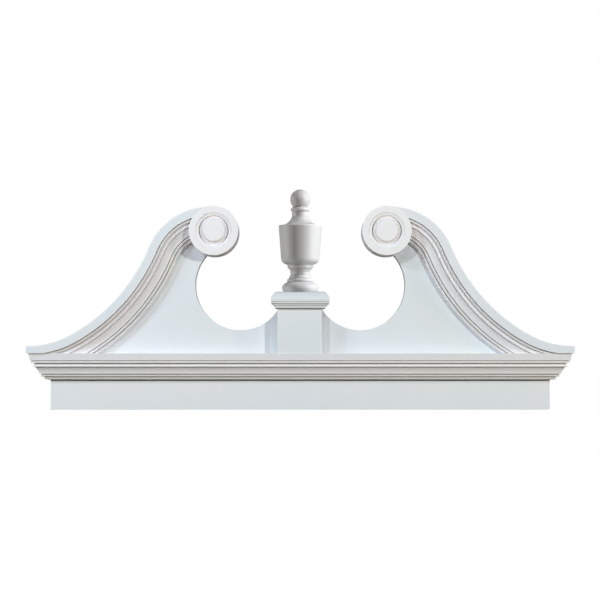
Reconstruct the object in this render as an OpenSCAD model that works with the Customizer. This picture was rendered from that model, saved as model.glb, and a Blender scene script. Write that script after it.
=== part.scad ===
// Swan-neck door pediment: frieze board, mitred cornice, two raking mouldings that curl into
// bullseye volutes, a pedestal between two round cut-outs, and a turned urn on the pedestal's cap.
// X runs along the wall, -Y away from it and +Z up. The origin is on the flat back, at the middle
// of the frieze board.

/* [Frieze] */
// Length of the frieze board
frieze_w = 1270; // [1060:5:1600]
// Height of the frieze board under the cornice
frieze_h = 76.5; // [50:0.5:120]
// Thickness of the board behind all the mouldings
board_t = 50; // [35:1:60]

/* [Cornice] */
// Height of the bed mouldings, from the soffit to the fascia
bed_h = 48.5; // [38:0.5:60]
// Projection of the bed mouldings beyond the board
bed_out = 47.5; // [38:0.5:49]
// Height of the fascia
fascia_h = 18; // [12:0.5:26]
// Projection of the fascia's top edge beyond the board
fascia_out = 51.5; // [49.5:0.5:54]

/* [Raking mouldings] */
// Height of the crown band where it ends over the cornice
crown_end_h = 18.5; // [12:0.5:21]
// Width of the flat crown band along the neck
crown_w = 21.5; // [18:0.5:28]
// Projection of the crown band and of the volutes beyond the board
crown_out = 57; // [55:0.5:70]
// Width of the moulding below the crown band
rake_bed_w = 53; // [42:0.5:64]

/* [Swan neck] */
// Level run at the foot of each neck
foot_run = 3; // [1:0.5:20]
// Radius of the hollow at the foot
foot_r = 229.5; // [190:0.5:275]
// Turn of the hollow at the foot, in degrees
foot_turn = 29.5; // [24:0.5:33]
// Radius of the long flank
flank_r = 447.5; // [370:0.5:540]
// Turn of the flank, in degrees
flank_turn = 36.4; // [31:0.1:40]
// Straight run between the flank and the shoulder
flank_run = 19.6; // [2:0.1:40]
// Radius of the shoulder
shoulder_r = 165; // [135:0.5:200]
// Turn of the shoulder, in degrees
shoulder_turn = 55.9; // [48:0.1:60]
// Radius of the last stretch, which runs onto the volute
crest_r = 400; // [330:1:480]
// Turn of the last stretch, in degrees
crest_turn = 4.8; // [2:0.1:8]

/* [Volutes] */
// Radius of each volute
volute_r = 62.5; // [52:0.5:75]
// Outer radius of the bullseye groove
groove_r = 46; // [40:0.5:50]
// Radius of the flat button inside the groove
button_r = 26.5; // [20:0.5:29]
// Depth of the bullseye groove
groove_depth = 8.5; // [4:0.5:9]

/* [Cut-outs] */
// Height of the lowest point of each cut-out above the cornice
sill_h = 59.5; // [45:0.5:72]
// How far each cut-out reaches outwards past its volute's centre
reach = 48.5; // [35:0.5:58]

/* [Pedestal] */
// Height of the pedestal above the cornice
pedestal_h = 109; // [95:0.5:130]
// Width of the pedestal's left half on its face
pedestal_left = 57; // [48:0.5:60]
// Width of the pedestal's right half on its face
pedestal_right = 54; // [48:0.5:60]
// Width of the splay down the pedestal's left side
splay_left = 19.5; // [6:0.5:24]
// Width of the splay down the pedestal's right side
splay_right = 11.5; // [6:0.5:24]
// Projection of the pedestal beyond the board
pedestal_out = 50; // [42:0.5:51]
// Height of the cap
cap_h = 46.7; // [38:0.1:56]
// Overhang of the cap beyond the pedestal
cap_out = 18.5; // [14:0.5:24]

/* [Urn] */
// Height of the urn
urn_h = 262.5; // [215:0.5:315]
// Radius of the urn at its rim
urn_r = 55; // [46:0.5:55.5]

/* [Hidden] */
$fn = 64;
base_z = -frieze_h / 2;
cornice_top = frieze_h + bed_h + fascia_h;
crown_top = cornice_top + crown_end_h;
crown_front = board_t + crown_out;
end_x = frieze_w / 2 + crown_out;
cap_bottom = cornice_top + pedestal_h;
pedestal_front = board_t + pedestal_out;
urn_z = base_z + cap_bottom + cap_h;
urn_y = -56;
corner_x = 57.5;
lap = 0.6;
shy = 0.05;

// Points on a shallow bow from a to b; bulge is its rise as a share of the chord, left of a to b.
function bow(a, b, bulge, n) = [
    for (i = [0:n])
        let (t = i / n, rise = 4 * bulge * t * (1 - t))
        [a[0] + (b[0] - a[0]) * t - (b[1] - a[1]) * rise, a[1] + (b[1] - a[1]) * t + (b[0] - a[0]) * rise]
];

// Points on an arc about c, from angle a to angle b.
function arc(c, r, a, b, n) = [
    for (i = [0:n]) let (t = a + (b - a) * i / n) [c[0] + r * cos(t), c[1] + r * sin(t)]
];

// Bed mouldings as shares of [height, projection], from the soffit up to the fascia.
bed = concat(
    [[0, 0.20], [0.085, 0.215]],
    bow([0.095, 0.235], [0.15, 0.30], -0.15, 3),
    [[0.16, 0.385]],
    bow([0.165, 0.395], [0.225, 0.415], 0.12, 3),
    [[0.24, 0.395], [0.258, 0.485]],
    bow([0.275, 0.51], [0.625, 0.725], -0.09, 7),
    [[0.635, 0.715], [0.65, 0.785]],
    bow([0.665, 0.80], [0.81, 0.86], 0.16, 5),
    [[0.825, 0.835], [0.85, 0.835]],
    [[0.865, 0.915], [0.955, 0.96]],
    [[0.965, 0.925], [0.985, 0.935], [1, 1]]
);

// Cap profile as shares of [height, overhang], from its underside up.
cap_profile = concat(
    [[0, 0], [0.05, 0.16], [0.11, 0.24], [0.125, 0.45], [0.215, 0.56]],
    bow([0.235, 0.66], [0.375, 0.96], -0.08, 4),
    [[0.39, 1], [0.47, 1], [0.485, 0.93], [0.52, 0.93], [0.535, 1], [0.66, 1]],
    bow([0.68, 0.98], [0.985, 0.3], 0.07, 5),
    [[1, 0.16]]
);

// The neck runs in from the left end. Each stretch is [radius, turn], turning up where the turn
// is positive, and a straight stretch is [0, length].
neck = [
    [0, foot_run],
    [foot_r, foot_turn],
    [flank_r, flank_turn],
    [0, flank_run],
    [shoulder_r, -shoulder_turn],
    [crest_r, -crest_turn]
];

// The centre of a stretch's arc, and the place and heading after it, from [x, height, heading].
function neck_centre(at, g) =
    let (side = sign(g[1]) * g[0]) [at[0] - side * sin(at[2]), at[1] + side * cos(at[2])];
function neck_after(at, g) =
    g[0] == 0 ? [at[0] + g[1] * cos(at[2]), at[1] + g[1] * sin(at[2]), at[2]]
    : let (c = neck_centre(at, g), side = sign(g[1]) * g[0], h = at[2] + g[1])
      [c[0] + side * sin(h), c[1] - side * cos(h), h];
function neck_at(i) = i == 0 ? [-end_x, crown_top, 0] : neck_after(neck_at(i - 1), neck[i - 1]);
stations = [for (i = [0:len(neck)]) neck_at(i)];
neck_end = stations[len(neck)];
volute = [neck_end[0] + volute_r * sin(neck_end[2]), neck_end[1] - volute_r * cos(neck_end[2])];

// Each cut-out's circle touches its sill and its outermost line and passes the cap's corner.
sill = cornice_top + sill_h;
across = -corner_x - (volute[0] - reach);
upward = cap_bottom - sill;
cut_r = across + upward - sqrt(2 * across * upward);
cut_x = volute[0] - reach + cut_r;
cut_z = sill + cut_r;

// The raking moulding's section as [distance in from the outer curve, distance from the wall].
rake = concat(
    [[0, 0], [0, crown_front], [crown_w, crown_front]],
    [for (i = [len(bed) - 1:-1:0])
        [crown_w + rake_bed_w * (1 - bed[i][0]), board_t + bed_out * bed[i][1]]],
    [[crown_w + rake_bed_w, 0]]
);

// A clockwise outline drawn in by a small distance, but for its side on the wall.
function edge_in(a, b) = let (d = (b - a) / norm(b - a)) [d[1], -d[0]];
function drawn_in(p, by) = [
    for (i = [0:len(p) - 1])
        let (
            before = edge_in(p[(i + len(p) - 1) % len(p)], p[i]),
            after = edge_in(p[i], p[(i + 1) % len(p)]),
            q = p[i] + by * (before + after) / (1 + before * after)
        )
        [q[0], p[i][1] == 0 ? 0 : q[1]]
];

// The modules up to the pediment draw the elevation in XY, with Z as the distance from the wall.
// Every second stretch of the neck is drawn in a hair and laps into its neighbours.
module stretch(at, g, lapped) {
    c = neck_centre(at, g);
    side = sign(g[1]);
    over = lapped ? (g[0] == 0 ? lap : lap / g[0] * 180 / PI) : 0;
    section = lapped ? drawn_in(rake, shy) : rake;
    first = side > 0 ? at[2] - 90 : at[2] + g[1] + 90;
    if (g[0] == 0)
        translate([at[0], at[1], 0]) rotate([0, 0, at[2]]) translate([-over, 0, 0]) rotate([90, 0, 90])
            linear_extrude(height = g[1] + 2 * over) polygon([for (p = section) [-p[0], p[1]]]);
    else
        translate([c[0], c[1], 0]) rotate([0, 0, first - over])
            rotate_extrude(angle = abs(g[1]) + 2 * over)
                polygon([for (p = section) [g[0] + side * p[0], p[1]]]);
}

module raking_moulding() {
    intersection() {
        union() {
            for (i = [0:len(neck) - 1]) stretch(stations[i], neck[i], i % 2 == 1);
        }
        translate([-end_x - 1, cornice_top, -1])
            cube([end_x, neck_end[1] - cornice_top + 1, crown_front + 2]);
    }
}

module volute_disc() {
    translate([volute[0], volute[1], 0]) cylinder(h = crown_front, r = volute_r);
}

module bullseye_groove() {
    floor_r = (groove_r + button_r) / 2;
    translate([volute[0], volute[1], 0])
        rotate_extrude() polygon(concat(
            [[button_r, crown_front + 1], [button_r, crown_front - 0.5]],
            bow([button_r + 1.5, crown_front - 1], [floor_r - 1.5, crown_front - groove_depth], 0.12, 4),
            [[floor_r + 1.5, crown_front - groove_depth]],
            [[groove_r - 1, crown_front - 1.5], [groove_r, crown_front - 0.5], [groove_r, crown_front + 1]]
        ));
}

// Board behind one neck. Its edge stays hidden inside the raking moulding and the volute.
module half_board() {
    inset = (crown_w + rake_bed_w) / 2;
    edge = [
        for (i = [1:len(neck) - 1], t = [0.25:0.25:1])
            let (at = neck_after(stations[i], [neck[i][0], neck[i][1] * t]))
            [at[0] + inset * sin(at[2]), at[1] - inset * cos(at[2])]
    ];
    low = frieze_h + bed_h / 2;
    middle = [[edge[0][0], low], [0, low], [0, cap_bottom], [-corner_x * 0.6, cap_bottom], [cut_x, cut_z]];
    back = [for (i = [len(edge) - 1:-1:0]) edge[i]];
    linear_extrude(height = board_t) polygon(concat(middle, [volute], back));
}

module cut_out() {
    translate([cut_x, cut_z, -1]) cylinder(h = crown_front + 2, r = cut_r);
}

module pedestal_block() {
    plan = [
        [pedestal_right + splay_right, 0],
        [pedestal_right + splay_right, board_t],
        [pedestal_right, pedestal_front],
        [-pedestal_left, pedestal_front],
        [-pedestal_left - splay_left, board_t],
        [-pedestal_left - splay_left, 0]
    ];
    translate([0, cap_bottom + 1, 0]) rotate([90, 0, 0])
        linear_extrude(height = pedestal_h + 4) polygon(plan);
}

// A moulding that turns its corners in mitres: a front run cut by its own profile at both ends.
// The profile is [height, overhang], and the block under it is 2 * half wide and reaches front.
module mitred(profile, bottom, top, half, front) {
    faces = [for (p = profile) [bottom + p[0], p[1]]];
    width = 2 * (half + max([for (p = profile) p[1]])) + 2;
    intersection() {
        translate([-width / 2, 0, 0]) rotate([90, 0, 90]) linear_extrude(height = width)
            polygon(concat(
                [[bottom, 0], [top, 0]],
                [for (i = [len(faces) - 1:-1:0]) [faces[i][0], front + faces[i][1]]]
            ));
        linear_extrude(height = width) polygon(concat(
            [for (p = faces) [half + p[1], p[0]]],
            [for (i = [len(faces) - 1:-1:0]) [-half - faces[i][1], faces[i][0]]]
        ));
    }
}

module cornice() {
    profile = concat([for (p = bed) [p[0] * bed_h, p[1] * bed_out]], [[bed_h + fascia_h, fascia_out]]);
    mitred(profile, frieze_h, cornice_top, frieze_w / 2, board_t);
}

module pedestal_cap() {
    profile = [for (p = cap_profile) [p[0] * cap_h, p[1] * cap_out]];
    mitred(profile, cap_bottom, cap_bottom + cap_h, (pedestal_left + pedestal_right) / 2, pedestal_front);
}

module both_sides() {
    children();
    mirror([1, 0, 0]) children();
}

module pediment() {
    color([0.93, 0.94, 0.95]) translate([0, 0, base_z]) rotate([90, 0, 0]) difference() {
        union() {
            difference() {
                union() {
                    both_sides() half_board();
                    pedestal_block();
                }
                both_sides() cut_out();
            }
            translate([-frieze_w / 2, 0, 0]) cube([frieze_w, frieze_h + 1, board_t]);
            cornice();
            both_sides() raking_moulding();
            both_sides() volute_disc();
            pedestal_cap();
        }
        both_sides() bullseye_groove();
    }
}

// Urn profile as [radius, height], with heights as shares of the whole and radii of the rim's.
module urn() {
    ball_r = 0.465 * urn_r;
    profile = concat(
        [[0, 0], [0.80 * urn_r, 0]],
        arc([0.62 * urn_r, 0.041 * urn_h], 0.225 * urn_r, -60, 62, 8),
        [[0.625 * urn_r, 0.098 * urn_h]],
        arc([0.535 * urn_r, 0.114 * urn_h], 0.08 * urn_r, -60, 75, 4),
        bow([0.515 * urn_r, 0.134 * urn_h], [0.455 * urn_r, 0.165 * urn_h], -0.14, 3),
        [[0.455 * urn_r, 0.200 * urn_h]],
        bow([0.470 * urn_r, 0.208 * urn_h], [0.590 * urn_r, 0.236 * urn_h], 0.14, 4),
        [[0.590 * urn_r, 0.262 * urn_h], [0.600 * urn_r, 0.266 * urn_h], [0.660 * urn_r, 0.270 * urn_h]],
        bow([0.680 * urn_r, 0.274 * urn_h], [0.890 * urn_r, 0.330 * urn_h], -0.17, 6),
        [[urn_r, 0.642 * urn_h], [0.985 * urn_r, 0.649 * urn_h]],
        bow([0.960 * urn_r, 0.651 * urn_h], [0.385 * urn_r, 0.735 * urn_h], 0.17, 8),
        [[0.380 * urn_r, 0.785 * urn_h]],
        arc([0.355 * urn_r, 0.803 * urn_h], 0.09 * urn_r, -60, 70, 5),
        [[0.335 * urn_r, 0.833 * urn_h]],
        arc([0, urn_h - ball_r], ball_r, -44, 90, 14)
    );
    color([0.86, 0.87, 0.88]) translate([0, urn_y, urn_z]) rotate_extrude() polygon(profile);
}

pediment();
urn();
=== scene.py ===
import bmesh
import bpy
import numpy as np
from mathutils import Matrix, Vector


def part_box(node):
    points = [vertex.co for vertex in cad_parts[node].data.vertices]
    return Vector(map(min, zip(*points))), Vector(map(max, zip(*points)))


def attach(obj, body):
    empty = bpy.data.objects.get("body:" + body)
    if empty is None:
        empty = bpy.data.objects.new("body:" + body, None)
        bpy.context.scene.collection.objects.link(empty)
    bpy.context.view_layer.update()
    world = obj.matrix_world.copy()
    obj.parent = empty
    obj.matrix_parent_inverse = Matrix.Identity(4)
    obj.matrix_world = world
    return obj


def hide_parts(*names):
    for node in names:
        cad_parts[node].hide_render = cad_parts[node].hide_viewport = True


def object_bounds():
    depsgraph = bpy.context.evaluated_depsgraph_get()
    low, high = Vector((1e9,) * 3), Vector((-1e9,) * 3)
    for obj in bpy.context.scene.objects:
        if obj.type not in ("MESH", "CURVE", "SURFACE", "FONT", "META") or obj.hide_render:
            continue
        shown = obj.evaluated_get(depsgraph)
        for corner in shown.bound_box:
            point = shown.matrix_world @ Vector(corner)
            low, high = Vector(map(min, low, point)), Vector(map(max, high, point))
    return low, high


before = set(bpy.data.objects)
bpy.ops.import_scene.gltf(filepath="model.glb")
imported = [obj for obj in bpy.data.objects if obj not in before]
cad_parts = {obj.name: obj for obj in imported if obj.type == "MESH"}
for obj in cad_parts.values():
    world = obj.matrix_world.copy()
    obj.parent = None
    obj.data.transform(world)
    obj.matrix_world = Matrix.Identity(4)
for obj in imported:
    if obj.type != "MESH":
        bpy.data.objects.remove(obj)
cad_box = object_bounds()

# ------------------------------------------------------------------------------------------
# Frieze and tympanum. One 50 mm board carries every moulding: its lowest strip is the frieze,
# and above the cornice it fills the swan neck and is sawn out in two round cut-outs that meet
# the pedestal. It is cast in rigid polyurethane, flat on the wall, with a sprayed white primer.

# Heights are measured up from the foot of the frieze, and distances out from the wall.
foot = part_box("pediment")[0].z
frieze_w, board_t = 1270.0, 50.0
crown_top, end_x = 161.5, 692.0

# The neck runs in from the left end. Each stretch is (radius, turn in degrees), turning up where
# the turn is positive, and a straight stretch is (0, length).
neck = [(0, 3.0), (229.5, 29.5), (447.5, 36.4), (0, 19.6), (165.0, -55.9), (400.0, -4.8)]


def neck_line(step):
    """Points and headings along the neck's outer edge. On an arc about c, a point is
    c + r (sin h, -cos h), while the heading h runs on evenly from the last stretch."""
    at, heading, points, headings = np.array([-end_x, crown_top]), 0.0, [], []
    for radius, turn in neck:
        if radius == 0:
            t = np.linspace(0, turn, int(turn / step) + 2)
            run = at + t[:, None] * [np.cos(heading), np.sin(heading)]
            h = np.full(len(t), heading)
        else:
            side = np.sign(turn) * radius
            centre = at + side * np.array([-np.sin(heading), np.cos(heading)])
            steps = int(radius * abs(np.radians(turn)) / step) + 2
            h = heading + np.linspace(0, np.radians(turn), steps)
            run = centre + side * np.stack([np.sin(h), -np.cos(h)], 1)
        at, heading = run[-1], h[-1]
        first = 1 if points else 0
        points.append(run[first:])
        headings.append(h[first:])
    return np.concatenate(points), np.concatenate(headings)


def primer_group():
    """Colour = paint, clouded between a warm and a cool tone by noise. It is turned towards a
    whiter, warmer colour where the painted light mask is high, as painted light on parts the lamps
    leave too dim. It is turned to the shade colour where the painted shade mask is high, as painted
    shade in the hollows. It is lightened where the arris mask is high, as a painted highlight on
    the arrises. Roughness follows the last two masks, and Height is the coat's peel, one fine and
    one broad noise added."""
    group = bpy.data.node_groups.new("sprayed_primer", "ShaderNodeTree")
    for name, kind, value in (
        ("Position", "NodeSocketVector", None),
        ("Paint", "NodeSocketColor", (0.8, 0.8, 0.8, 1)),
        ("Cool Paint", "NodeSocketColor", (0.78, 0.8, 0.82, 1)),
        ("Painted Light Colour", "NodeSocketColor", (0.935, 0.885, 0.91, 1)),
        ("Shade Colour", "NodeSocketColor", (0.2, 0.15, 0.1, 1)),
        ("Shade Depth", "NodeSocketFloat", 0.5),
        ("Base Roughness", "NodeSocketFloat", 0.45),
    ):
        socket = group.interface.new_socket(name, in_out="INPUT", socket_type=kind)
        if value is not None:
            socket.default_value = value
    for name, kind in (
        ("Colour", "NodeSocketColor"),
        ("Roughness", "NodeSocketFloat"),
        ("Height", "NodeSocketFloat"),
    ):
        group.interface.new_socket(name, in_out="OUTPUT", socket_type=kind)
    nodes, links = group.nodes, group.links
    given, result = nodes.new("NodeGroupInput"), nodes.new("NodeGroupOutput")

    def fed(node, feeds):
        """The node, with each of its inputs joined to a socket or set to a number."""
        for key, value in feeds.items():
            if isinstance(value, bpy.types.NodeSocket):
                links.new(value, node.inputs[key])
            else:
                node.inputs[key].default_value = value
        return node

    def noise(scale, detail):
        """Noise on the object's own position, in scale waves to the metre."""
        feeds = {"Vector": given.outputs["Position"], "Scale": scale, "Detail": detail}
        return fed(nodes.new("ShaderNodeTexNoise"), feeds).outputs["Fac"]

    def ranged(value, low, high, to_low, to_high):
        """The value carried from low..high to to_low..to_high."""
        feeds = {"Value": value, "From Min": low, "From Max": high}
        feeds.update({"To Min": to_low, "To Max": to_high})
        return fed(nodes.new("ShaderNodeMapRange"), feeds).outputs["Result"]

    def maths(kind, a, b):
        """One sum of a and b, of the kind named."""
        node = nodes.new("ShaderNodeMath")
        node.operation = kind
        return fed(node, {0: a, 1: b}).outputs[0]

    def mixed(factor, a, b):
        """Colour a, turned towards colour b by the factor."""
        node = nodes.new("ShaderNodeMix")
        node.data_type = "RGBA"
        return fed(node, {0: factor, 6: a, 7: b}).outputs[2]

    def mask(name):
        """A number held at the mesh's points."""
        node = nodes.new("ShaderNodeAttribute")
        node.attribute_name = name
        return node.outputs["Fac"]

    grey_fleck, highlight_white = (0.62, 0.63, 0.65, 1.0), (0.97, 0.965, 0.96, 1.0)
    painted_shade, arris, painted_light = mask("painted_shade"), mask("arris"), mask("painted_light")
    clouds = ranged(noise(3.2, 3.0), 0.36, 0.64, 0.0, 1.0)
    mottle = ranged(noise(38.0, 4.0), 0.3, 0.7, 0.0, 1.0)
    shade_patches = ranged(noise(85.0, 3.0), 0.3, 0.7, 0.9, 1.0)
    coat = mixed(clouds, given.outputs["Paint"], given.outputs["Cool Paint"])
    # Painted light: parts the lamps leave too dim turn whiter and warmer.
    coat = mixed(painted_light, coat, given.outputs["Painted Light Colour"])
    coat = mixed(maths("MULTIPLY", mottle, 0.06), coat, grey_fleck)
    # Painted shade: the hollows turn towards the shade colour, in patches by noise.
    shade_amount = maths("MULTIPLY", maths("MULTIPLY", painted_shade, shade_patches), given.outputs["Shade Depth"])
    coat = mixed(shade_amount, coat, given.outputs["Shade Colour"])
    # Painted highlight: the arrises turn towards white.
    coat = mixed(maths("MULTIPLY", arris, 0.8), coat, highlight_white)
    rough = maths("ADD", given.outputs["Base Roughness"], ranged(mottle, 0.0, 1.0, -0.05, 0.06))
    rough = maths("SUBTRACT", rough, maths("MULTIPLY", arris, 0.08))
    rough = maths("ADD", rough, maths("MULTIPLY", painted_shade, 0.12))
    peel = maths("ADD", noise(620.0, 2.0), maths("MULTIPLY", noise(150.0, 2.0), 0.8))
    for key, value in (("Colour", coat), ("Roughness", rough), ("Height", peel)):
        links.new(value, result.inputs[key])
    return group


sprayed_primer = primer_group()


def painted(name, paint, cool_paint, soil, soiling, roughness, peel):
    """A Principled coat fed by the sprayed primer group with this finish's own values."""
    coat = bpy.data.materials.new(name)
    coat.use_nodes = True
    nodes, links = coat.node_tree.nodes, coat.node_tree.links
    shader = nodes["Principled BSDF"]
    shader.inputs["IOR"].default_value = 1.46
    group = nodes.new("ShaderNodeGroup")
    group.node_tree = sprayed_primer
    group.inputs["Paint"].default_value = (*paint, 1)
    group.inputs["Cool Paint"].default_value = (*cool_paint, 1)
    group.inputs["Shade Colour"].default_value = (*soil, 1)
    group.inputs["Shade Depth"].default_value = soiling
    group.inputs["Base Roughness"].default_value = roughness
    place, bump = nodes.new("ShaderNodeTexCoord"), nodes.new("ShaderNodeBump")
    bump.inputs["Strength"].default_value = peel
    bump.inputs["Distance"].default_value = 0.00015
    links.new(place.outputs["Object"], group.inputs["Position"])
    links.new(group.outputs["Colour"], shader.inputs["Base Color"])
    links.new(group.outputs["Roughness"], shader.inputs["Roughness"])
    links.new(group.outputs["Height"], bump.inputs["Height"])
    links.new(bump.outputs["Normal"], shader.inputs["Normal"])
    return coat


white_primer = painted(
    "white_primer",
    paint=(0.812, 0.815, 0.845),
    cool_paint=(0.772, 0.80, 0.85),
    soil=(0.14, 0.097, 0.072),
    soiling=0.95,
    roughness=0.44,
    peel=0.35,
)


# Points within merge_within metres are one, and an edge that turns by more than sharp_over
# degrees is shaded as an arris.
merge_within, sharp_over = 2e-6, 34


def finished(name, grid, caps, masks, paint, node, closed_round=True):
    """Puts a grid of (x, height, distance) points in millimetres into a mesh: a quad between each
    four neighbours, round the second axis where it is closed, and a flat face on each list of caps.
    The masks are painted shade, arris (painted highlight) and painted light, each one number or one
    per point."""
    rows, columns = grid.shape[:2]
    index = np.arange(rows * columns).reshape(rows, columns)
    if closed_round:
        index = np.concatenate([index, index[:, :1]], 1)
    quads = np.stack([index[:-1, :-1], index[1:, :-1], index[1:, 1:], index[:-1, 1:]], -1)
    x, height, distance = np.moveaxis(grid.reshape(-1, 3) * 0.001, 1, 0)
    points = np.stack([x, -distance, height + foot], 1)
    faces = quads.reshape(-1, 4).tolist() + [np.asarray(c).tolist() for c in caps]
    mesh = bpy.data.meshes.new(name)
    mesh.from_pydata(points.tolist(), [], faces)
    for label, values in zip(("painted_shade", "arris", "painted_light"), masks):
        layer = mesh.attributes.new(label, "FLOAT", "POINT")
        everywhere = np.broadcast_to(values, (rows, columns)).astype(np.float32)
        layer.data.foreach_set("value", everywhere.ravel())
    work = bmesh.new()
    work.from_mesh(mesh)
    bmesh.ops.remove_doubles(work, verts=work.verts, dist=merge_within)
    bmesh.ops.recalc_face_normals(work, faces=work.faces)
    work.to_mesh(mesh)
    work.free()
    mesh.shade_smooth()
    mesh.set_sharp_from_angle(angle=np.radians(sharp_over))
    mesh.materials.append(paint)
    made = bpy.data.objects.new(name, mesh)
    bpy.context.scene.collection.objects.link(made)
    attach(made, "root")
    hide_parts(node)
    return made


def along(corners, counts):
    """Points on a broken line through the corners, with its own count of even steps per side."""
    parts = [
        a + (b - a) * np.linspace(0, 1, n, endpoint=False)[:, None]
        for a, b, n in zip(corners[:-1], corners[1:], counts)
    ]
    return np.concatenate(parts + [corners[-1:]])


# The face is ruled: a straight line runs from each point of the cut-out's edge to one on the
# outer edge, which hides in the mouldings, then goes down the frieze's end and along its foot.
neck_points, neck_headings = neck_line(step=2.0)
inwards = np.stack([np.sin(neck_headings), -np.cos(neck_headings)], 1)
volute_r = 62.5
volute = neck_points[-1] + volute_r * inwards[-1]
cut_centre, cut_r = np.array([-152.193, 317.823]), 115.323
# It keeps inset_by inside the neck from inset_from_x inwards, starts down the end at end_top, and
# stops level inside the pedestal and its cap, at block_half from the middle and at block_head.
inset_by, inset_from_x, end_top = 37.25, -556.0, 90.0
block_half, block_head = 55.5, 255.0
end_steps, foot_steps, block_steps = 10, 56, 6
inset = neck_points + inset_by * inwards
inset = inset[np.searchsorted(inset[:, 0], inset_from_x) :][::-4]
corners = np.array([[-frieze_w / 2, end_top], [-frieze_w / 2, 0.0], [-block_half, 0.0], [0.0, 0.0]])
outer = np.concatenate([[volute], inset, along(corners, [end_steps, foot_steps, block_steps])])
# The cut-out's edge turns through these angles, in degrees, while the outer edge passes its own
# corners, and then it runs level under the cap.
turns = np.interp(
    np.arange(len(outer)),
    np.cumsum([0, 1, len(inset) - 1, 1, end_steps, foot_steps]),
    np.radians([116.27, 121.0, 195.0, 203.0, 222.0, 327.0]),
)
inner = cut_centre + cut_r * np.stack([np.cos(turns), np.sin(turns)], 1)
inner[-block_steps:, 0] = np.linspace(-block_half, 0, block_steps + 1)[1:]
inner[-block_steps:, 1] = block_head
# The shares of the way from one edge to the other lie closer together near both.
across = np.array([0, 0.004, 0.012, 0.03, 0.1, 0.3, 0.5, 0.7, 0.9, 0.97, 0.988, 0.996, 1])
face = inner[:, None] + (outer - inner)[:, None] * across[:, None]
half = np.concatenate(
    [
        np.dstack([face, np.full(face.shape[:2], board_t)]),
        np.dstack([face[:, ::-1], np.zeros(face.shape[:2])]),
    ],
    1,
)
board = np.concatenate([half, half[-2::-1] * [-1, 1, 1]])
ends = np.arange(board[..., 0].size).reshape(board.shape[:2])[[0, -1]]
# The frieze gets some painted light, a whiter, warmer coat than the tympanum, and the cornice hides
# where that changes.
frieze_painted_light, frieze_upto = 0.25, 80.0
board_painted_light = np.where(board[..., 1] < frieze_upto, frieze_painted_light, 0.0)
board_masks = (0.0, 0.0, board_painted_light)
tympanum = finished(
    "frieze_and_tympanum", board, ends, board_masks, white_primer, "pediment"
)
eased_edges = tympanum.modifiers.new("eased_arrises", "BEVEL")
eased_edges.width, eased_edges.segments = 0.0009, 2
eased_edges.limit_method, eased_edges.angle_limit = "ANGLE", np.radians(50)
eased_edges.harden_normals = True

# ------------------------------------------------------------------------------------------
# Cornice. Bed mouldings of two ovolos, a long cove and their fillets rise to a plain fascia.
# They run across the board and return to the wall at both ends, mitred at the corners, and
# are cast in one with the board under the same primer.

frieze_h, bed_h, bed_out, fascia_h, fascia_out = 76.5, 48.5, 47.5, 18.0, 51.5


def bow(a, b, bulge, n):
    """Points on a shallow bow from a to b, which stands 4 bulge t (1 - t) chords to the left of the
    straight line at its share t."""
    a, b, t = np.array(a), np.array(b), np.linspace(0, 1, n + 1)[:, None]
    return a + (b - a) * t + np.array([a[1] - b[1], b[0] - a[0]]) * (4 * bulge * t * (1 - t))


def rows_of(*parts):
    """Single points and runs of points stacked into one profile."""
    return np.concatenate([np.atleast_2d(p) for p in parts]).astype(float)


def eased(profile, ease, step):
    """The profile with each corner turned into a short parabola that starts ease away from it, or
    0.4 of a shorter side, and then with a point at least every step."""
    before, at, after = profile[:-2], profile[1:-1], profile[2:]
    back, on = before - at, after - at
    back_len, on_len = (np.linalg.norm(v, axis=1, keepdims=True) for v in (back, on))
    start = at + back / back_len * np.minimum(ease, 0.4 * back_len)
    end = at + on / on_len * np.minimum(ease, 0.4 * on_len)
    t = np.linspace(0, 1, 4)[:, None]
    curve = (1 - t) ** 2 * start[:, None] + 2 * t * (1 - t) * at[:, None] + t**2 * end[:, None]
    line = np.concatenate([profile[:1], curve.reshape(-1, 2), profile[-1:]])
    s = np.concatenate([[0], np.cumsum(np.linalg.norm(np.diff(line, axis=0), axis=1))])
    even = np.arange(step, s[-1], step)
    even = even[np.abs(even[:, None] - s[None]).min(1) > step / 3]
    places = np.sort(np.concatenate([s, even]))
    return np.stack([np.interp(places, s, line[:, k]) for k in (0, 1)], 1)


def hollows_and_arrises(profile, hollow_reach, arris_reach):
    """Two masks along a profile with the solid on its right: the turns near a point, each weighed
    by exp(-(distance / reach)^2), where 1 is a right angle. A left turn is a hollow."""
    leg = np.diff(profile, axis=0)
    s = np.concatenate([[0], np.cumsum(np.linalg.norm(leg, axis=1))])
    heading = np.unwrap(np.arctan2(leg[:, 1], leg[:, 0]))
    turn = np.concatenate([[0], np.diff(heading), [0]]) / (np.pi / 2)
    gap = np.abs(s[:, None] - s[None])
    hollow = (np.exp(-((gap / hollow_reach) ** 2)) * turn).sum(1)
    arris = (np.exp(-((gap / arris_reach) ** 2)) * -turn).sum(1)
    return np.clip(hollow, 0, 1), np.clip(arris, 0, 1)


# How far in millimetres the painted shade and the painted highlight reach from a hollow and from an
# arris, where the mouldings are crisp.
crisp_reaches = (0.85, 0.8)

# Shares of (height, projection), from the soffit up to the fascia.
bed = rows_of(
    [0, 0.13], [0.016, 0.14], bow([0.022, 0.26], [0.12, 0.33], 0.14, 4),
    [0.127, 0.28], [0.155, 0.28], [0.165, 0.44], [0.195, 0.45], [0.203, 0.485], [0.258, 0.50],
    [0.264, 0.42], [0.30, 0.43],
    bow([0.311, 0.54], [0.625, 0.735], -0.07, 10),
    [0.635, 0.70], [0.65, 0.705], [0.665, 0.79],
    bow([0.672, 0.82], [0.79, 0.815], 0.22, 8),
    [0.80, 0.795], [0.84, 0.79], [0.866, 0.79], [0.878, 0.95], [0.962, 0.965],
    [0.97, 0.915], [0.986, 0.92], [1, 1],
)


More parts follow.
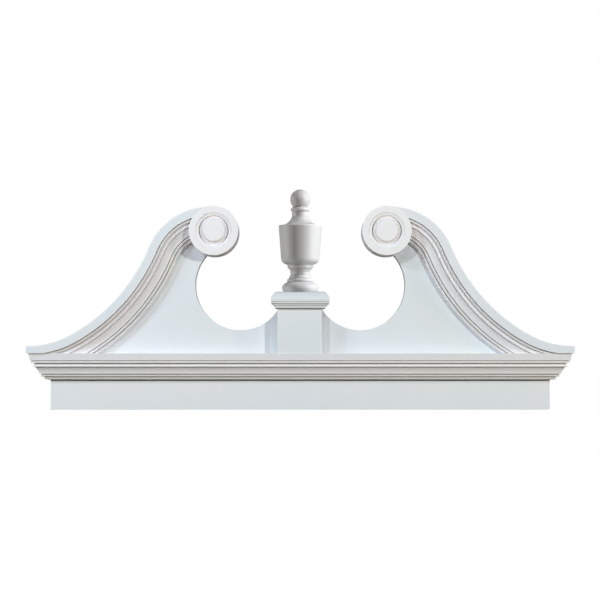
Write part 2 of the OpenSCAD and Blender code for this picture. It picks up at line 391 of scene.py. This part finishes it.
def mitred(name, profile, bottom, half, front, wall, paint, painted_light, soil_line):
    """A moulding whose profile of (height, overhang) is carried round three sides of a block: out
    from the wall, across the front and back to it, the overhang o putting each run at half + o from
    the middle and front + o from the wall, so the runs meet in mitres. The shadow line is a
    (height, reach, depth) where a painted shadow is laid along the profile."""
    height, over = bottom + profile[:, 0], profile[:, 1]
    back = np.full(len(over), wall)
    x = np.stack([-half - over, -half - over, half + over, half + over])
    d = np.stack([back, front + over, front + over, back])
    grid = np.dstack([x, np.broadcast_to(height, x.shape), d])
    index = np.arange(x.size).reshape(x.shape)
    caps = [index[:, 0], index[:, -1], np.concatenate([index[0], index[3, ::-1]])]
    # The face below and the flat top count as the profile's neighbours in its masks.
    beyond = 8
    whole = np.concatenate([profile[:1] - [beyond, 0], profile, profile[-1:] - [0, beyond]])
    painted_shade, arris = (m[1:-1] for m in hollows_and_arrises(whole, *crisp_reaches))
    # Painted shadow: the painted shade mask is darkened along the shadow line.
    at, reach, depth = soil_line
    soiled = depth * np.exp(-(((profile[:, 0] - at) / reach) ** 2))
    masks = [np.maximum(painted_shade, soiled), arris * (1 - soiled), painted_light]
    finished(name, grid, caps, masks, paint, "pediment", closed_round=False)


# It starts with a thin strip on the board's face, in the corner below the soffit, that stands in
# for the board there and carries the painted shadow line, a dark band for the shadow under the
# soffit. Each piece's back has its own distance from the wall, from 0.05 to 0.2, so that no two
# faces lie in one plane.
shadow_strip_h, shadow_strip_t = 3.4, 0.1
# Painted light: a whiter, warmer coat, full on the bed mouldings and less on the fascia.
bed_painted_light, fascia_painted_light = 1.0, 0.65
cornice_profile = rows_of(
    [-shadow_strip_h, shadow_strip_t], [0, shadow_strip_t], bed * [bed_h, bed_out], [bed_h + fascia_h, fascia_out]
)
cornice_profile = eased(cornice_profile, ease=0.35, step=1.3)
mitred(
    "cornice",
    cornice_profile,
    bottom=frieze_h,
    half=frieze_w / 2,
    front=board_t,
    wall=0.05,
    paint=white_primer,
    painted_light=np.where(cornice_profile[:, 0] < bed_h, bed_painted_light, fascia_painted_light),
    soil_line=(-2.2, 1.9, 1.0),
)

# ------------------------------------------------------------------------------------------
# Raking mouldings. A plain crown band and the cornice's own bed mouldings, turned to face
# down the slope, follow each swan neck from over the cornice's end up into the volute. They
# are cast in one with the board; the foot of each is cut level on top of the cornice.

cornice_top = frieze_h + bed_h + fascia_h
crown_w, crown_front, rake_bed_w, rake_bed_out = 21.5, 107.0, 53.0, 51.0
rake_wall, rake_gap = 0.1, 0.02
# Painted light: more of the whiter, warmer coat on the bed mouldings than on the crown band.
rake_soiling, rake_bed_painted_light, crown_painted_light = 0.6, 0.9, 0.15

rake = rows_of(
    [0, rake_wall], [0, crown_front], [crown_w, crown_front],
    np.stack([crown_w + rake_bed_w * (1 - bed[::-1, 0]), board_t + rake_bed_out * bed[::-1, 1]], 1),
    [crown_w + rake_bed_w, rake_wall],
)
rake = eased(rake, ease=0.4, step=2.2)


def raking_moulding(name, side):
    """The section's point (q, d) at a place p with heading h is p + q (sin h, -cos h) at distance d
    from the wall. Below the cornice's top q stops at (height - top) / cos h. Inside the volute's
    circle a point moves straight out to the circle, so the mouldings end on the volute."""
    rise = (neck_points[:, 1] - cornice_top) / np.cos(neck_headings)
    q = np.minimum(rake[:, 0], rise[:, None])
    cut = rake[:, 0] > rise[:, None]
    depth_there = np.interp(rise, rake[3:-3, 0], rake[3:-3, 1])
    d = np.where(cut & (rake[:, 1] > 2 * rake_wall), depth_there[:, None], rake[:, 1])
    p = neck_points[:, None] + q[..., None] * inwards[:, None]
    from_volute = p - volute
    away = np.linalg.norm(from_volute, axis=2, keepdims=True)
    stop = volute_r - rake_gap
    p = np.where(away < stop, volute + from_volute * (stop / np.maximum(away, 1e-6)), p)
    grid = np.dstack([p[..., 0] * side, p[..., 1], d])
    index = np.arange(q.size).reshape(q.shape)
    painted_shade, arris = hollows_and_arrises(rake, *crisp_reaches)
    painted_light = np.where(rake[:, 0] > crown_w, rake_bed_painted_light, crown_painted_light)
    # Painted shade in the moulding's hollows, at rake_soiling of its full depth.
    masks = [painted_shade * rake_soiling, arris, painted_light]
    finished(name, grid, index[[0, -1]], masks, white_primer, "pediment")


for name, side in (("raking_moulding_left", 1), ("raking_moulding_right", -1)):
    raking_moulding(name, side)

# ------------------------------------------------------------------------------------------
# Volutes. Each swan neck ends in a thick round disc with a bullseye turned in its face: a
# flat button, a sloping groove round it and a plain rim. Cast with the neck and primed.

groove_r, button_r, groove_depth, volute_wall = 46.0, 26.5, 8.5, 0.15
floor_r = (groove_r + button_r) / 2
# The reaches of painted shade and painted highlight where the work is turned or plain, and its
# corners are softer.
soft_reaches = (1.7, 1.2)


def turned(name, profile, axis, centre, count, paint, node, painted_light, evenness, fitted=None):
    """A profile of (place along the axis, radius), with the solid on its right, turned about the
    axis through centre: "out" is straight out from the wall and "up" is vertical. Its point at
    angle a is centre + radius (cos a, sin a) across the axis. The painted shade mask is scaled by
    evenness + (1 - evenness) cos^2 a, so that the painted shade in the hollows lies heavier at the
    sides than at the top and bottom, where more light falls."""
    a = np.linspace(0, 2 * np.pi, count, endpoint=False)[None]
    place, radius = (np.repeat(profile[:, k : k + 1], count, 1) for k in (0, 1))
    if fitted is not None:
        place, radius = fitted(place, radius, a)
    if axis == "out":
        grid = np.dstack([centre[0] + radius * np.cos(a), centre[1] + radius * np.sin(a), place])
    else:
        x, distance = centre[0] + radius * np.cos(a), centre[2] + radius * np.sin(a)
        grid = np.dstack([x, centre[1] + place, distance])
    painted_shade, arris = (m[:, None] for m in hollows_and_arrises(profile, *soft_reaches))
    painted_shade = painted_shade * (evenness + (1 - evenness) * np.cos(a) ** 2)
    return finished(name, grid, [], (painted_shade, arris, painted_light), paint, node)


bullseye = rows_of(
    [volute_wall, 0], [volute_wall, volute_r], [crown_front, volute_r], [crown_front, groove_r],
    [crown_front - 1.2, groove_r - 0.4], [crown_front - 3.4, floor_r + 2.2],
    [crown_front - groove_depth, floor_r + 1.0],
    bow([crown_front - groove_depth, floor_r - 0.3], [crown_front - 1.2, button_r + 0.8], -0.10, 8),
    [crown_front, button_r], [crown_front, 0],
)
bullseye = eased(bullseye, ease=0.6, step=1.8)
# The neck's crown band lies against this part of the rim, from where it meets the circle.
band_from, band_to, rim_ease = np.radians(94.0), np.radians(150.0), 0.9


def seamless_rim(place, radius, angle):
    """Squares the rim's arris where the crown band runs onto it, so that no joint shows."""
    left = (angle > band_from) & (angle < band_to)
    arris = (place > crown_front - rim_ease) & (radius > volute_r - rim_ease) & left
    return np.where(arris, crown_front, place), np.where(arris, volute_r, radius)


mirrored = ((-1, 0, 0, 0), (0, 1, 0, 0), (0, 0, 1, 0), (0, 0, 0, 1))
for name in ("volute_left", "volute_right"):
    # Each volute gets the full painted light and painted shade in its groove, heaviest at the
    # sides.
    disc = turned(
        name, bullseye, "out", volute, 240, white_primer, "pediment",
        painted_light=1.0, evenness=0.1, fitted=seamless_rim,
    )
    if name == "volute_right":
        disc.data.transform(mirrored)
        disc.data.flip_normals()

# ------------------------------------------------------------------------------------------
# Pedestal. A plain block stands forward of the tympanum in the middle, splayed back to the
# board down both sides, and the cut-outs bite into the heads of the splays.

pedestal_left, pedestal_right, pedestal_front = 57.0, 54.0, 100.0
splay_left, splay_right = 19.5, 11.5
# The block is let 2 mm into the board and 3 mm into the cornice, and stops short of the cut-outs.
pedestal_back, pedestal_foot, head_gap = board_t - 2, cornice_top - 3, 0.05
plan = eased(
    rows_of(
        [-pedestal_left - splay_left, pedestal_back],
        [-pedestal_left - splay_left, board_t],
        [-pedestal_left, pedestal_front],
        [pedestal_right, pedestal_front],
        [pedestal_right + splay_right, board_t],
        [pedestal_right + splay_right, pedestal_back],
    ),
    ease=0.9,
    step=4.0,
)
beside = np.clip(np.abs(cut_centre[0]) - np.abs(plan[:, 0]), 0, cut_r)
head = np.minimum(cut_centre[1] - np.sqrt(cut_r**2 - beside**2) - head_gap, block_head)
up = np.array([0, 0.2, 0.4, 0.6, 0.8, 0.94, 0.985, 1])
height = pedestal_foot + (head[:, None] - pedestal_foot) * up
plan_x, plan_out = (np.repeat(plan[:, k : k + 1], len(up), 1) for k in (0, 1))
front = np.dstack([plan_x, height, plan_out])
inside = front[:, ::-1].copy()
inside[..., 2] = pedestal_back
pedestal = np.concatenate([front, inside], 1)
ends = np.arange(pedestal[..., 0].size).reshape(pedestal.shape[:2])[[0, -1]]
# Painted shade in the plan's hollows and a painted highlight on its arrises, all up the block.
corner_marks = [*(m[:, None] for m in hollows_and_arrises(plan, *soft_reaches)), 0.0]
finished("pedestal", pedestal, ends, corner_marks, white_primer, "pediment")

# ------------------------------------------------------------------------------------------
# Cap. A necking, a cove, two fillets with a quirk between them and a bowed top weathering,
# mitred round the head of the pedestal and back to the wall. The urn stands on its flat top.

cap_bottom, cap_h, cap_out = 252.0, 46.7, 18.5
cap = rows_of(
    [0, 0.01], [0.045, 0.10], [0.11, 0.12], [0.125, 0.45], [0.235, 0.52],
    bow([0.25, 0.62], [0.375, 0.94], -0.08, 6),
    [0.39, 0.97], [0.44, 0.97], [0.45, 0.93], [0.475, 0.93], [0.485, 1], [0.66, 1],
    bow([0.68, 0.98], [0.985, 0.3], 0.07, 9),
    [1, 0.16],
)
cap = eased(cap * [cap_h, cap_out], ease=0.4, step=1.2)
mitred(
    "pedestal_cap",
    cap,
    bottom=cap_bottom,
    half=(pedestal_left + pedestal_right) / 2,
    front=pedestal_front,
    wall=0.2,
    paint=white_primer,
    painted_light=0.0,
    # A painted shadow line along the necking, just above the cap's foot.
    soil_line=(3.4, 1.7, 0.8),
)

# ------------------------------------------------------------------------------------------
# Urn. Turned all round in one piece: a torus foot, a reeded stem, a tapering body with a sharp rim,
# a hollow shoulder, a neck with its collar and a ball. It is a separate piece that stands on the
# cap, and its coat is a darker grey copy of the primer, as painted shade for the dimmer light on
# it.

urn_r, urn_h, urn_out = 55.0, 262.5, 56.0


def round_of(centre, radius, start, stop, n):
    """Points on an arc about the centre (height, radius): centre + radius (sin t, cos t), with t in
    degrees from straight outwards."""
    t = np.radians(np.linspace(start, stop, n + 1))
    return np.stack([centre[0] + radius * np.sin(t), centre[1] + radius * np.cos(t)], 1)


def share(height, radius):
    """A place on the urn from shares of its height and of its rim's radius."""
    return [height * urn_h, radius * urn_r]


ball_r = 0.465 * urn_r
urn_profile = rows_of(
    [0, 0], share(0, 0.80),
    round_of(share(0.041, 0.62), 0.225 * urn_r, -60, 62, 14),
    share(0.098, 0.625),
    round_of(share(0.114, 0.535), 0.08 * urn_r, -60, 75, 8),
    bow(share(0.134, 0.515), share(0.165, 0.455), 0.14, 6),
    share(0.200, 0.455),
    bow(share(0.208, 0.470), share(0.236, 0.590), -0.14, 7),
    share(0.262, 0.590), share(0.266, 0.600), share(0.270, 0.660),
    bow(share(0.274, 0.680), share(0.330, 0.890), 0.17, 10),
    share(0.642, 1), share(0.649, 0.985),
    bow(share(0.651, 0.960), share(0.735, 0.385), -0.17, 14),
    share(0.785, 0.380),
    round_of(share(0.803, 0.355), 0.09 * urn_r, -60, 70, 8),
    share(0.833, 0.335),
    round_of([urn_h - ball_r, 0], ball_r, -44, 90, 30),
)
# The urn's coat is a darker grey copy of the white primer, painted shade for the dimmer light on
# the urn.
shaded_grey_primer = painted(
    "grey_white_primer_painted_shade",
    paint=(0.66, 0.665, 0.67),
    cool_paint=(0.62, 0.635, 0.65),
    soil=(0.16, 0.14, 0.125),
    soiling=0.5,
    roughness=0.5,
    peel=0.35,
)
urn_profile = eased(urn_profile, ease=0.45, step=1.8)
urn_foot = (0.0, cap_bottom + cap_h, urn_out)
urn = turned(
    "urn_turned", urn_profile, "up", urn_foot, 144, shaded_grey_primer, "urn",
    painted_light=0.0, evenness=1.0,
)

# ------------------------------------------------------------------------------------------
# Studio. A plain pale floor lies a door's height below. Seven lamps stand in front, the key low
# on the right, and three more light the urn alone. The room is dim, with a warm glow from below,
# and shows white to the camera.

door_h = 2.1
floor_corners = [(x, y, foot - door_h) for x, y in ((-5, -7), (5, -7), (5, 5), (-5, 5))]
floor_mesh = bpy.data.meshes.new("floor")
floor_mesh.from_pydata(floor_corners, [], [(0, 1, 2, 3)])
floor = bpy.data.objects.new("floor", floor_mesh)
bpy.context.scene.collection.objects.link(floor)
floor_paint = bpy.data.materials.new("floor_paint")
floor_paint.use_nodes = True
floor_shader = floor_paint.node_tree.nodes["Principled BSDF"]
floor_shader.inputs["Base Color"].default_value = (0.60, 0.55, 0.50, 1)
floor_shader.inputs["Roughness"].default_value = 0.8
floor_mesh.materials.append(floor_paint)

middle = (cad_box[0] + cad_box[1]) / 2


def lamp(name, azimuth, elevation, watts, away=4.6, width=0.45, urn_only=False):
    """A square lamp some way from the middle of the pediment, at azimuth a to the right and
    elevation e: middle + away (sin a cos e, -cos a cos e, sin e). Its watts are red, green and
    blue. It lights the urn alone, with nothing else in its way, or all the rest."""
    light = bpy.data.lights.new(name, "AREA")
    light.shape, light.size = "SQUARE", width
    light.energy = max(watts)
    light.color = [w / light.energy for w in watts]
    made = bpy.data.objects.new(name, light)
    bpy.context.scene.collection.objects.link(made)
    a, e = np.radians([azimuth, elevation])
    aim = np.array([np.sin(a) * np.cos(e), -np.cos(a) * np.cos(e), np.sin(e)])
    made.location = np.array(middle) + away * aim
    made.rotation_euler = (middle - made.location).to_track_quat("-Z", "Y").to_euler()
    lit = bpy.data.collections.new(name + "_lights")
    lit.objects.link(urn)
    lit.collection_objects[0].light_linking.link_state = "INCLUDE" if urn_only else "EXCLUDE"
    made.light_linking.receiver_collection = lit
    if urn_only:
        made.light_linking.blocker_collection = lit


lamp("side_lamp_left", -60, 8, (17, 22, 19))
lamp("side_lamp_right", 65, 8, (28, 19, 9))
lamp("sky_lamp_right", 65, 30, (1, 8, 20))
lamp("front_lamp_left", -22, 20, (48, 47, 48), width=0.3)
lamp("sky_lamp_left", -50, 24, (14.5, 17.5, 21.5), away=2.8, width=0.3)
lamp("front_lamp", 5, 30, (14, 16, 14))
lamp("key_lamp_right", 33, 12, (68, 75, 71), width=0.12)
lamp("urn_lamp_left", -82, 8, (92, 92, 91), urn_only=True)
lamp("urn_lamp_right", 73, 8, (182, 184, 186), urn_only=True)
lamp("urn_lamp_high", 70, 50, (118, 116, 115), urn_only=True)

# The room's colour goes with the height z of the direction looked in, as (z + 1) / 2.
room = bpy.data.worlds.new("room")
bpy.context.scene.world = room
room.use_nodes = True
nodes, links = room.node_tree.nodes, room.node_tree.links
dim = nodes["Background"]
dim.inputs["Strength"].default_value = 1.0
spot = nodes.new("ShaderNodeTexCoord")
parts = nodes.new("ShaderNodeSeparateXYZ")
fade = nodes.new("ShaderNodeValToRGB")
low, high = fade.color_ramp.elements
low.position, low.color = 0.38, (0.21, 0.15, 0.08, 1)
high.position, high.color = 0.50, (0.02, 0.02, 0.02, 1)
shift = nodes.new("ShaderNodeMath")
shift.operation = "MULTIPLY_ADD"
shift.inputs[1].default_value = shift.inputs[2].default_value = 0.5
links.new(spot.outputs["Generated"], parts.inputs[0])
links.new(parts.outputs["Z"], shift.inputs[0])
links.new(shift.outputs[0], fade.inputs[0])
links.new(fade.outputs[0], dim.inputs["Color"])
seen = nodes.new("ShaderNodeBackground")
seen.inputs["Color"].default_value = (1, 1, 1, 1)
seen.inputs["Strength"].default_value = 1.0
path, either = nodes.new("ShaderNodeLightPath"), nodes.new("ShaderNodeMixShader")
links.new(path.outputs["Is Camera Ray"], either.inputs[0])
links.new(dim.outputs[0], either.inputs[1])
links.new(seen.outputs[0], either.inputs[2])
links.new(either.outputs[0], nodes["World Output"].inputs["Surface"])
bpy.context.scene.view_settings.view_transform = "Standard"

# ------------------------------------------------------------------------------------------
# Camera. It stands 5.5 m from the wall, level with the cornice's bed mouldings and almost in
# the middle, and looks up a little.

camera_view, camera_tilt = 15.963, 2.0076
camera_x, camera_away, camera_height = -0.0006, 5.5, 0.08836
camera_data = bpy.data.cameras.new("camera")
camera_data.angle = np.radians(camera_view)
camera = bpy.data.objects.new("camera", camera_data)
bpy.context.scene.collection.objects.link(camera)
camera.location = (camera_x, -camera_away, foot + camera_height)
camera.rotation_euler = (np.radians(90 + camera_tilt), 0, 0)
bpy.context.scene.camera = camera
